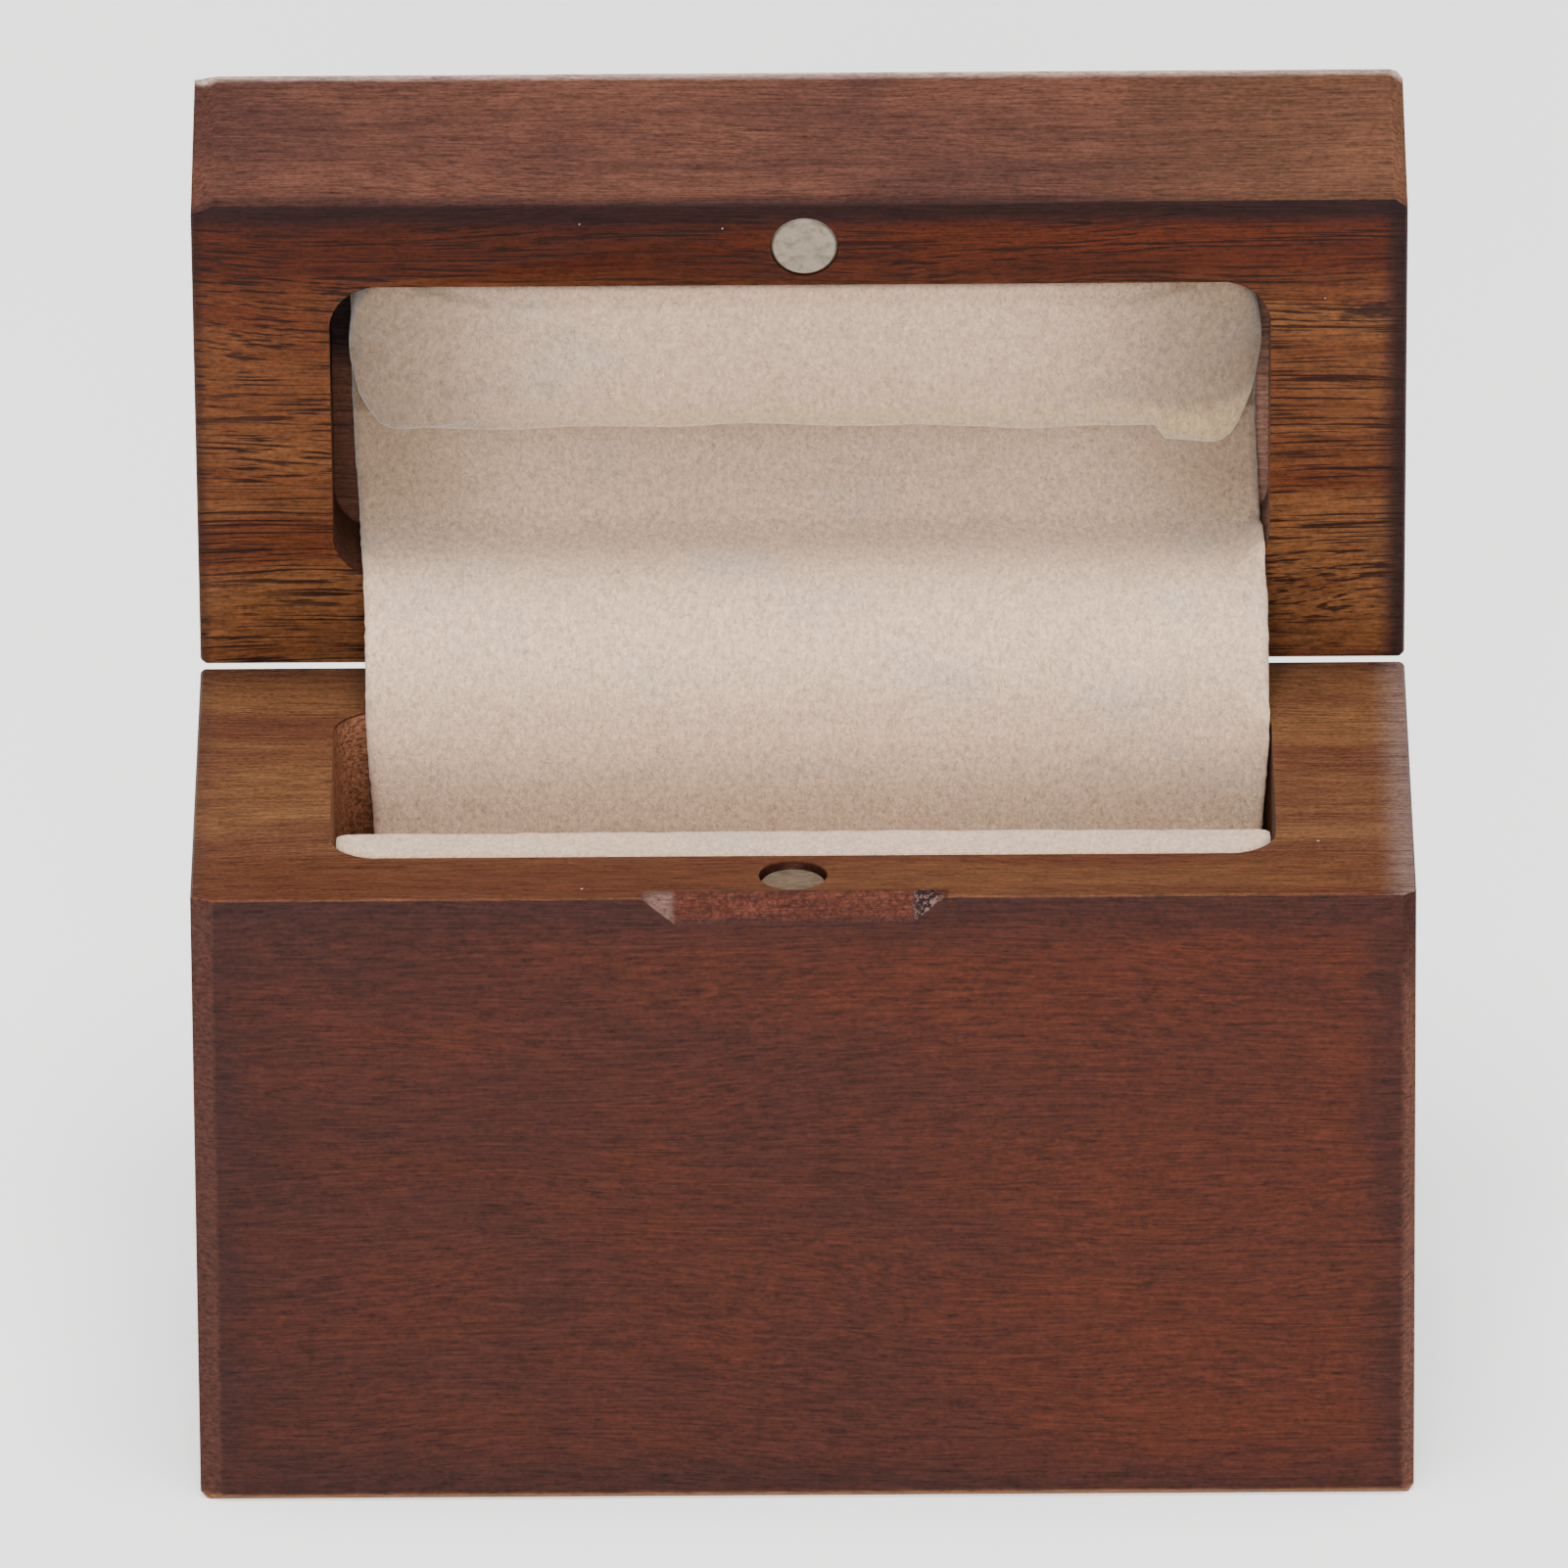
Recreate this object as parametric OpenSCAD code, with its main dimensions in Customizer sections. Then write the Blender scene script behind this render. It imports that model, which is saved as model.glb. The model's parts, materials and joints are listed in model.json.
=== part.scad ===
// Slim wooden ring box, standing open.
// A base block and a lid block of solid wood are joined at the back by two small butt
// hinges and held shut by a pair of disc magnets. A suede strip lines the box: it runs
// from the lid, over the hinges, down into the base and into the ring slot.
// Millimetres. The origin is the centre of the underside, +Z is up, the front faces -Y.

/* [Box] */
// Width, left to right
box_w = 73; // [66:0.5:90]
// Depth, front to back
box_d = 33; // [31:0.5:38]
// Height of the base block
base_h = 40; // [36:0.1:48]
// Height of the lid block
lid_h = 15; // [12.5:0.1:20]
// Angle that the lid stands open, counted from closed
lid_open = 81; // [60:1:88]

/* [Pockets] */
// Thickness of both front walls
front_wall = 5.8; // [5.4:0.1:7]
// Thickness of both rear walls, which carry the hinges
rear_wall = 6.2; // [5.8:0.1:7]
// Thickness of the side walls
side_wall = 8.2; // [5:0.1:10]
// Corner radius that the cutter leaves in both pockets
pocket_r = 3; // [2:0.5:4]
// Depth of the pocket in the base
base_pocket_depth = 32; // [31:0.5:34]
// Depth of the pocket in the lid
lid_pocket_depth = 5.4; // [5.2:0.1:6.5]

/* [Edges] */
// Width of the chamfer on the left front corner, seen from the front
left_chamfer = 1.4; // [0.5:0.1:2]
// Width of the chamfer on the right front corner, seen from the front
right_chamfer = 0.8; // [0.5:0.1:2]
// Depth of both front chamfers, seen from the side
chamfer_depth = 0.65; // [0.4:0.05:1.2]
// Chamfer on the rear corners and round the underside and the lid's top
edge_chamfer = 0.4; // [0.2:0.1:0.8]
// Fine chamfer on the edges where the lid meets the base
rim_chamfer = 0.15; // [0.05:0.05:0.4]

/* [Thumb notch] */
// Length of the notch along the top of the front edge
notch_w = 18.4; // [12:0.2:24]
// How far the notch reaches down the front face
notch_drop = 1.8; // [1:0.1:2.5]
// How far the notch reaches back along the rim
notch_back = 0.9; // [0.6:0.1:0.9]
// Length of the slanted facet at each end of the notch
notch_slope = 2.1; // [0.5:0.1:3]
// Sideways machining error of the notch and the magnet bore in the base
front_x = -0.6; // [-1:0.1:1]

/* [Magnets] */
// Diameter of each disc magnet
magnet_d = 4; // [3:0.5:4]
// Thickness of each disc magnet
magnet_t = 2; // [1:0.5:3]
// Distance from the front face to the centre of both magnets
magnet_inset = 3.1; // [3:0.1:3.2]
// How far the magnet in the base sits below the rim
base_magnet_sink = 0.5; // [0.3:0.1:1.5]
// Sideways machining error of the magnet bore in the lid
lid_magnet_x = 0.3; // [-1:0.1:1]

/* [Hinges] */
// Distance between the middles of the two hinges
hinge_spacing = 30; // [24:1:40]
// Length of each hinge along its pin
hinge_len = 10; // [8:0.5:12]
// How far the pin sits behind the rear face
hinge_back = 0.1; // [0.1:0.1:0.8]
// Diameter of the knuckles
knuckle_d = 2.4; // [2:0.1:2.6]
// Diameter of the hinge pin
pin_d = 1; // [0.8:0.1:1.2]
// Thickness of each leaf
leaf_t = 0.6; // [0.5:0.1:0.8]
// Reach of each leaf forward of the pin
leaf_reach = 5.4; // [5:0.1:5.8]
// Shank diameter of the hinge screws
screw_d = 1; // [0.8:0.1:1.2]
// Length of the hinge screws
screw_len = 5; // [4:0.5:6]

/* [Lining] */
// Width of the suede strip
lining_w = 53; // [44:0.5:53]
// How far the strip was glued in to the right of the middle
lining_x = 0.5; // [-0.5:0.1:0.5]
// Thickness of the suede with its backing
lining_t = 1; // [0.6:0.1:1.2]
// Radius at which the strip passes round the hinge pin
bridge_r = 7.2; // [7.1:0.1:7.7]
// Straight drop of the strip down the rear wall of the base
lining_drop = 6; // [4:0.5:8]
// Slope of the ring seat from the vertical
seat_slope = 55; // [45:1:60]
// Depth that the strip is tucked into the ring slot
slot_depth = 4; // [3:0.5:5]

/* [Pads] */
// Thickness of the front pad in the base, front to back
front_pad_t = 4.5; // [4:0.1:5]
// Length of the pad in the lid, front to back
lid_pad_len = 10.8; // [8:0.1:12]
// Width of the pad in the lid
lid_pad_w = 55; // [46:0.5:55.5]
// How far the lid's pad was glued in to the right of the middle
lid_pad_x = 0.3; // [-0.3:0.1:0.3]
// Thickness of the suede that wraps both pads
cover_t = 0.8; // [0.6:0.1:1]

/* [Hidden] */
$fn = 48;

wood = [0.42, 0.22, 0.13];
brass = [0.78, 0.62, 0.32];
steel = [0.75, 0.74, 0.72];
foam = [0.93, 0.9, 0.82];
suede = [0.82, 0.76, 0.7];

// Gap left for glue round magnets and soft parts
glue = 0.1;
// Gap between the two rims when the lid is shut
seam = 0.1;
// Clearance of a turning knuckle on its pin
pin_clearance = 0.05;
// Gap between knuckles, and between a knuckle and the wood round it
knuckle_gap = 0.12;
// Play of a leaf in its mortise
leaf_play = 0.05;
// Height of a screw's countersunk head
screw_head_h = 0.8 * leaf_t;
// Overrun that lets a cut pass cleanly through a face
cut = 1;

front_y = -box_d / 2;
rear_y = box_d / 2;
pocket_front = front_y + front_wall;
pocket_rear = rear_y - rear_wall;
pocket_w = box_w - 2 * side_wall;
rim_z = base_h;
lid_rim_z = base_h + seam;
lid_top_z = lid_rim_z + lid_h;
base_floor_z = base_h - base_pocket_depth;
lid_floor_z = lid_rim_z + lid_pocket_depth;
axis_y = rear_y + hinge_back;
axis_z = base_h + seam / 2;
axis_yz = [axis_y, axis_z];
magnet_y = front_y + magnet_inset;

// Points along an arc from angle a0 to a1 in n steps, round centre c
function arc(c, r, a0, a1, n) =
    [for (i = [0:n]) c + r * [cos(a0 + (a1 - a0) * i / n), sin(a0 + (a1 - a0) * i / n)]];

// Unit vector to the left of the path at point i
function left_of(path, i) =
    let (
        a = path[max(i - 1, 0)],
        b = path[min(i + 1, len(path) - 1)],
        d = (b - a) / norm(b - a)
    )
    [-d[1], d[0]];

// The path moved sideways, to the left if side is positive
function beside(path, side) = [for (i = [0:len(path) - 1]) path[i] + side * left_of(path, i)];

// The same points in the opposite order
function backwards(path) = [for (i = [len(path) - 1:-1:0]) path[i]];

// A band of even thickness along a path
module ribbon(path, t) {
    polygon(concat(beside(path, t / 2), backwards(beside(path, -t / 2))));
}

// Extrudes a (y, z) profile to an even width across the box
module across(w) {
    rotate([90, 0, 90]) linear_extrude(w, center = true) children();
}

// Turns what is modelled shut about the hinge pin, to where the lid stands open
module opened() {
    translate([0, axis_y, axis_z]) rotate([-lid_open, 0, 0]) translate([0, -axis_y, -axis_z])
        children();
}

// Rectangle with cut corners, from (x0, y0) to (x1, y1); low is the cut at y0, high at y1
module cut_rectangle(x0, y0, x1, y1, low, high) {
    polygon([
        [x0 + low, y0], [x1 - low, y0], [x1, y0 + low], [x1, y1 - high],
        [x1 - high, y1], [x0 + high, y1], [x0, y1 - high], [x0, y0 + low]
    ]);
}

// Outline of the box from above
module plan() {
    x = box_w / 2;
    polygon([
        [-x + left_chamfer, front_y], [x - right_chamfer, front_y],
        [x, front_y + chamfer_depth], [x, rear_y - edge_chamfer],
        [x - edge_chamfer, rear_y], [-x + edge_chamfer, rear_y],
        [-x, rear_y - edge_chamfer], [-x, front_y + chamfer_depth]
    ]);
}

// Rectangle with round corners, w wide, from y0 to y1
module round_rectangle(w, y0, y1, r) {
    translate([-w / 2 + r, y0]) square([w - 2 * r, y1 - y0]);
    translate([-w / 2, y0 + r]) square([w, y1 - y0 - 2 * r]);
    for (x = [-w / 2 + r, w / 2 - r], y = [y0 + r, y1 - r]) translate([x, y]) circle(r);
}

// Solid block from z0 to z1; low and high are the chamfers round its lower and upper face
module wood_block(z0, z1, low, high) {
    intersection() {
        translate([0, 0, z0]) linear_extrude(z1 - z0) plan();
        across(box_w) cut_rectangle(front_y, z0, rear_y, z1, low, high);
        rotate([90, 0, 0]) linear_extrude(box_d, center = true)
            cut_rectangle(-box_w / 2, z0, box_w / 2, z1, low, high);
    }
}

module pocket(z0, z1) {
    translate([0, 0, z0]) linear_extrude(z1 - z0)
        round_rectangle(pocket_w, pocket_front, pocket_rear, pocket_r);
}

// Everything near the box that lies beyond the plane through p, on the side n points to
module beyond(p, n) {
    translate(p) rotate([0, acos(n[2] / norm(n)), atan2(n[1], n[0])])
        translate([-box_w, -box_w, 0]) cube(2 * box_w);
}

// Wedge cut along the front edge, with a slanted facet at each end
module thumb_notch() {
    tip = [notch_w / 2, front_y, rim_z];
    rim_corner = tip + [-notch_slope, notch_back, 0];
    face_corner = tip + [-notch_slope, 0, -notch_drop];
    difference() {
        across(notch_w + 2 * cut) polygon([
            [front_y - cut, rim_z + cut], [front_y + notch_back, rim_z + cut],
            [front_y + notch_back, rim_z], [front_y, rim_z - notch_drop],
            [front_y - cut, rim_z - notch_drop]
        ]);
        for (side = [0, 1]) mirror([side, 0, 0])
            beyond(tip, cross(face_corner - tip, rim_corner - tip));
    }
}

// Room for one leaf, the knuckles and the screw shanks; side is -1 below the pin, 1 above
module hinge_mortise(side) {
    rim = axis_z + side * seam / 2;
    low = min(rim - side * cut, rim + side * (leaf_t + leaf_play));
    for (x = [-hinge_spacing / 2, hinge_spacing / 2]) translate([x, 0, 0]) {
        translate([-hinge_len / 2 - knuckle_gap, axis_y - leaf_reach - leaf_play, low])
            cube([hinge_len + 2 * knuckle_gap, leaf_reach + cut, leaf_t + leaf_play + cut]);
        pin_cylinder(knuckle_d / 2 + knuckle_gap, hinge_len + 2 * knuckle_gap);
        screw_places() translate([0, 0, rim]) mirror([0, 0, side > 0 ? 1 : 0])
            translate([0, 0, -screw_len - leaf_play]) cylinder(d = screw_d + leaf_play, h = screw_len);
    }
}

// Cylinder on the hinge axis, centred on the hinge
module pin_cylinder(r, h, x = 0) {
    translate([x, axis_y, axis_z]) rotate([0, 90, 0]) cylinder(r = r, h = h, center = true);
}

module screw_places() {
    for (x = [-hinge_len * 0.3, hinge_len * 0.3])
        translate([x, axis_y - leaf_reach * 0.62, 0]) children();
}

// Countersunk screw with a cross in its head, whose face is at z = 0, pointing down
module hinge_screw() {
    difference() {
        rotate_extrude() polygon([
            [0, 0], [screw_d, 0], [screw_d / 2, -screw_head_h],
            [screw_d / 2, -screw_len + screw_d], [0, -screw_len]
        ]);
        for (a = [0, 90]) rotate(a)
            cube([1.3 * screw_d, 0.22 * screw_d, 0.7 * screw_head_h], center = true);
    }
}

// One leaf, plate below the pin. Ends carries the outer knuckles, otherwise the middle one
module hinge_leaf(ends) {
    third = hinge_len / 3;
    own = ends ? [-third, third] : [0];
    other = ends ? [0] : [-third, third];
    plate_top = axis_z - seam / 2;
    difference() {
        union() {
            translate([-hinge_len / 2, axis_y - leaf_reach, plate_top - leaf_t])
                cube([hinge_len, leaf_reach, leaf_t]);
            for (x = own) pin_cylinder(knuckle_d / 2, third - knuckle_gap, x);
        }
        for (x = other) pin_cylinder(knuckle_d / 2 + knuckle_gap, third + knuckle_gap, x);
        pin_cylinder(pin_d / 2 + (ends ? 0 : pin_clearance), hinge_len + cut);
        screw_places() translate([0, 0, plate_top]) rotate_extrude() polygon([
            [0, 0], [screw_d + leaf_play, 0], [screw_d / 2 + leaf_play, -screw_head_h],
            [screw_d / 2 + leaf_play, -leaf_t - cut], [0, -leaf_t - cut]
        ]);
    }
}

// What hangs on the lid is the same part, mirrored across the plane of the pin
module mirrored() {
    translate([0, 0, axis_z]) mirror([0, 0, 1]) translate([0, 0, -axis_z]) children();
}

module base_screws() {
    screw_places() translate([0, 0, rim_z]) hinge_screw();
}

// Side is -1 for the left hinge and 1 for the right one
module at_hinge(side) {
    translate([side * hinge_spacing / 2, 0, 0]) children();
}

// Disc magnet with a broken edge, standing on z = 0
module disc_magnet() {
    e = 0.15;
    r = magnet_d / 2;
    color(steel) rotate_extrude() polygon([
        [0, 0], [r - e, 0], [r, e], [r, magnet_t - e], [r - e, magnet_t], [0, magnet_t]
    ]);
}

module base_block() {
    bore_depth = magnet_t + base_magnet_sink;
    color(wood) difference() {
        wood_block(0, rim_z, edge_chamfer, rim_chamfer);
        pocket(base_floor_z, rim_z + cut);
        translate([front_x, magnet_y, rim_z - bore_depth])
            cylinder(d = magnet_d + glue, h = bore_depth + cut);
        translate([front_x, 0, 0]) thumb_notch();
        hinge_mortise(-1);
    }
}

module lid_block() {
    color(wood) opened() difference() {
        wood_block(lid_rim_z, lid_top_z, rim_chamfer, edge_chamfer);
        pocket(lid_rim_z - cut, lid_floor_z);
        translate([lid_magnet_x, magnet_y, lid_rim_z - cut])
            cylinder(d = magnet_d + glue, h = magnet_t + cut);
        hinge_mortise(1);
    }
}

module base_magnet() {
    translate([front_x, magnet_y, rim_z - magnet_t - base_magnet_sink]) disc_magnet();
}

module lid_magnet() {
    opened() translate([lid_magnet_x, magnet_y, lid_rim_z]) disc_magnet();
}

// The front pad fills the front of the pocket, so it takes the pocket's round corners
front_pad_top = rim_z - 0.2;
front_pad_back = pocket_front + glue + front_pad_t;

module front_pad_plan(inset) {
    intersection() {
        round_rectangle(
            pocket_w - 2 * (glue + inset), pocket_front + glue + inset,
            pocket_rear, pocket_r - glue - inset
        );
        translate([-box_w / 2, pocket_front]) square([box_w, front_pad_back - inset - pocket_front]);
    }
}

module front_pad_foam() {
    color(foam) translate([0, 0, base_floor_z + glue])
        linear_extrude(front_pad_top - cover_t - base_floor_z - glue) front_pad_plan(cover_t);
}

module front_pad_cover() {
    color(suede) difference() {
        translate([0, 0, base_floor_z + glue])
            linear_extrude(front_pad_top - base_floor_z - glue) front_pad_plan(0);
        translate([0, 0, base_floor_z + glue - cut])
            linear_extrude(front_pad_top - cover_t - base_floor_z - glue + cut)
            front_pad_plan(cover_t);
    }
}

// Path of the strip in the base, from the hinge arc down to the bottom of the ring slot
strip_y = axis_y - bridge_r;
sweep_r = 8;
nose_r = 3;
slot_y = front_pad_back + 0.3 + lining_t / 2;
sweep_c = [strip_y - sweep_r, rim_z - lining_drop];
sweep = arc(sweep_c, sweep_r, 0, -seat_slope, 12);
seat_run = (strip_y - slot_y - (sweep_r + nose_r) * (1 - cos(seat_slope))) / sin(seat_slope);
seat_end = sweep[12] - seat_run * [sin(seat_slope), cos(seat_slope)];
nose_c = seat_end - nose_r * [cos(180 - seat_slope), sin(180 - seat_slope)];
nose = arc(nose_c, nose_r, 180 - seat_slope, 180, 8);
slot_end = [[slot_y, nose_c[1] - slot_depth]];
seat_path = concat(sweep, nose, slot_end);
base_strip_path = concat([[strip_y, rim_z]], seat_path);

// Path of the strip in the shut lid, from the hinge arc to the front wall
lid_turn_r = 3;
lid_strip_z = lid_floor_z - glue - lining_t / 2;
lid_turn = arc([strip_y - lid_turn_r, lid_strip_z - lid_turn_r], lid_turn_r, 0, 90, 8);
lid_strip_path = concat(
    [[strip_y, lid_rim_z]], lid_turn, [[pocket_front + 2 * glue, lid_strip_z]]
);

module lining_across(w) {
    translate([lining_x, 0, 0]) across(w) children();
}

module base_lining() {
    color(suede) lining_across(lining_w) ribbon(base_strip_path, lining_t);
}

module bridge_lining() {
    color(suede) lining_across(lining_w)
        ribbon(arc(axis_yz, bridge_r, 180, 180 - lid_open, 16), lining_t);
}

module lid_lining() {
    color(suede) opened() lining_across(lining_w) ribbon(lid_strip_path, lining_t);
}

// Foam that fills the base behind and under the sloping strip, a little narrower than it
module rear_cushion_foam() {
    under = beside(seat_path, lining_t / 2 + glue);
    back = pocket_rear - glue;
    color(foam) lining_across(lining_w - 2) polygon(concat(
        under,
        [[under[len(under) - 1][0], base_floor_z + glue], [back, base_floor_z + glue],
        [back, sweep_c[1]]]
    ));
}

// The lid's pad lies on the strip, in the front half of the pocket
lid_pad_front = pocket_front + glue;
lid_pad_face = lid_rim_z + 0.3;
lid_pad_z = lid_strip_z - lining_t / 2 - glue;

module lid_pad_plan(inset) {
    translate([lid_pad_x, 0]) round_rectangle(
        lid_pad_w - 2 * inset, lid_pad_front + inset,
        lid_pad_front + lid_pad_len - inset, pocket_r - glue - inset
    );
}

module lid_pad_foam() {
    color(foam) opened() translate([0, 0, lid_pad_face + cover_t])
        linear_extrude(lid_pad_z - lid_pad_face - cover_t) lid_pad_plan(cover_t);
}

module lid_pad_cover() {
    color(suede) opened() difference() {
        translate([0, 0, lid_pad_face]) linear_extrude(lid_pad_z - lid_pad_face) lid_pad_plan(0);
        translate([0, 0, lid_pad_face + cover_t])
            linear_extrude(lid_pad_z - lid_pad_face + cut) lid_pad_plan(cover_t);
    }
}

module hinge_base_leaf(side) {
    color(brass) at_hinge(side) hinge_leaf(true);
}

module hinge_lid_leaf(side) {
    color(brass) opened() mirrored() at_hinge(side) hinge_leaf(false);
}

module hinge_pin(side) {
    color(steel) at_hinge(side) pin_cylinder(pin_d / 2, hinge_len);
}

module hinge_base_screws(side) {
    color(steel) at_hinge(side) base_screws();
}

module hinge_lid_screws(side) {
    color(steel) opened() mirrored() at_hinge(side) base_screws();
}

base_block();
lid_block();
base_magnet();
lid_magnet();
hinge_base_leaf(-1);  // left_hinge_base_leaf
hinge_lid_leaf(-1);  // left_hinge_lid_leaf
hinge_pin(-1);  // left_hinge_pin
hinge_base_screws(-1);  // left_hinge_base_screws
hinge_lid_screws(-1);  // left_hinge_lid_screws
hinge_base_leaf(1);  // right_hinge_base_leaf
hinge_lid_leaf(1);  // right_hinge_lid_leaf
hinge_pin(1);  // right_hinge_pin
hinge_base_screws(1);  // right_hinge_base_screws
hinge_lid_screws(1);  // right_hinge_lid_screws
front_pad_foam();
front_pad_cover();
rear_cushion_foam();
lid_pad_foam();
lid_pad_cover();
base_lining();
bridge_lining();
lid_lining();
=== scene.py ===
"""Looks of the slim walnut ring box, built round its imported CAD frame."""
import bisect
import json
import math

import bmesh
import bpy
from mathutils import Matrix, Vector, noise


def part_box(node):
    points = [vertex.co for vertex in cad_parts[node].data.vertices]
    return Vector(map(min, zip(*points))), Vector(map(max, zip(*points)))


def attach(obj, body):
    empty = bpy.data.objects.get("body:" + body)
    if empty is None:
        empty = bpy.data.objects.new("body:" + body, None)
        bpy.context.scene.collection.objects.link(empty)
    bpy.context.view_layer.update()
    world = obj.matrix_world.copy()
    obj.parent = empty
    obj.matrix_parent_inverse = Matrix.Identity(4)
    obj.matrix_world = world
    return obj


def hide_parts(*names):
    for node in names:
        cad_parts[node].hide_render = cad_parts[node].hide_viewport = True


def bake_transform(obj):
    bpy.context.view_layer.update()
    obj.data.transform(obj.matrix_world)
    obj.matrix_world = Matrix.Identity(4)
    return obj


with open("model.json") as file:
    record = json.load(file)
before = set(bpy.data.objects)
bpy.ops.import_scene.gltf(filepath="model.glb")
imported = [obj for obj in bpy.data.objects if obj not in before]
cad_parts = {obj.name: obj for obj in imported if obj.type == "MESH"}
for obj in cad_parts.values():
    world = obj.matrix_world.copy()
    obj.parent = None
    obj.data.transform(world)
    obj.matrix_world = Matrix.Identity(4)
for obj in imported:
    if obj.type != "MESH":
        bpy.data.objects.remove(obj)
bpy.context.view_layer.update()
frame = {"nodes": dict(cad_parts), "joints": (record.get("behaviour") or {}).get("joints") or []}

MM = 0.001

# ---------------------------------------------------------------- places, from the frame

hinge = frame["joints"][0]
hinge_at = Vector(hinge["pos_m"])
open_angle = math.radians(-hinge["range_deg"][0])
turn = Matrix.Rotation(open_angle, 4, Vector(hinge["axis"]))
opening = Matrix.Translation(hinge_at) @ turn @ Matrix.Translation(-hinge_at)
shutting = opening.inverted()


def shut_box(node):
    """Lowest and highest corner of a node on the lid, with the lid shut."""
    points = [shutting @ v.co for v in frame["nodes"][node].data.vertices]
    low = Vector([min(p[i] for p in points) for i in range(3)])
    high = Vector([max(p[i] for p in points) for i in range(3)])
    return low, high


base_low, base_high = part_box("base_block")
lid_low, lid_high = shut_box("lid_block")
rim_z = base_high.z
lid_rim_z = lid_low.z
lid_floor_z = shut_box("lid_lining")[1].z
front_y, rear_y = base_low.y, base_high.y
pad_low, pad_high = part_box("front_pad_cover")
PAD_GAP = 0.1  # from the front pad to the walls of its pocket, in mm
pocket_front = pad_low.y - PAD_GAP * MM
pocket_half_w = pad_high.x + PAD_GAP * MM

# Places on the wood, in millimetres with the box shut
NOTCH_X = -0.6  # middle of the thumb notch
NOTCH_HALF = 9.2  # half its length
NOTCH_END = 2.1  # length of the slanted facet at each of its ends
KNOT_AT = (34.2, -8.6, 0)  # dark knot on the face of the lid


# ---------------------------------------------------------------- camera, light and floor

VIEW_TARGET = Vector((-1.13 * MM, 0, 39.72 * MM))
VIEW_WIDTH = 94.2 * MM
VIEW_DISTANCE = 1.55
VIEW_AZIMUTH, VIEW_ELEVATION, VIEW_ROLL = 0.15, 25.1, -0.42
SENSOR_MM = 36
WORLD_STRENGTH = 0.62
SOFTBOXES = {  # place and size in metres, power in watts
    "front": ((-0.05, -0.95, 0.30), 0.45, 13.0),
    "overhead": ((0.0, -0.12, 0.98), 0.5, 12.0),
}


def make_camera():
    data = bpy.data.cameras.new("camera")
    data.sensor_width = SENSOR_MM
    data.lens = SENSOR_MM * VIEW_DISTANCE / VIEW_WIDTH
    data.clip_start, data.clip_end = 0.1, 20
    camera = bpy.data.objects.new("camera", data)
    bpy.context.scene.collection.objects.link(camera)
    bpy.context.scene.camera = camera
    a, e = math.radians(VIEW_AZIMUTH), math.radians(VIEW_ELEVATION)
    back = Vector((math.sin(a) * math.cos(e), -math.cos(a) * math.cos(e), math.sin(e)))
    aim = (-back).to_track_quat("-Z", "Y").to_matrix().to_4x4()
    roll = Matrix.Rotation(math.radians(VIEW_ROLL), 4, "Z")
    camera.matrix_world = Matrix.Translation(VIEW_TARGET + back * VIEW_DISTANCE) @ aim @ roll


def softbox(name, place, size, power):
    """Square area light that faces the middle of the box."""
    data = bpy.data.lights.new(name, "AREA")
    data.shape, data.size, data.energy = "SQUARE", size, power
    light = bpy.data.objects.new(name, data)
    light.location = place
    light.rotation_mode = "QUATERNION"
    light.rotation_quaternion = (Vector((0, 0, rim_z)) - light.location).to_track_quat("-Z", "Y")
    bpy.context.scene.collection.objects.link(light)


def make_studio():
    world = bpy.data.worlds.new("studio")
    bpy.context.scene.world = world
    world.use_nodes = True
    background = world.node_tree.nodes["Background"]
    background.inputs["Color"].default_value = (1.0, 0.99, 0.98, 1)
    background.inputs["Strength"].default_value = WORLD_STRENGTH
    for name, (place, size, power) in SOFTBOXES.items():
        softbox(name, place, size, power)


# ---------------------------------------------------------------- material building

def linear(r, g, b):
    """Scene-linear RGBA of a colour given as display values from 0 to 255."""
    return tuple((c / 255 / 12.92 if c < 11 else ((c / 255 + 0.055) / 1.055) ** 2.4)
                 for c in (r, g, b)) + (1,)


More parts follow.
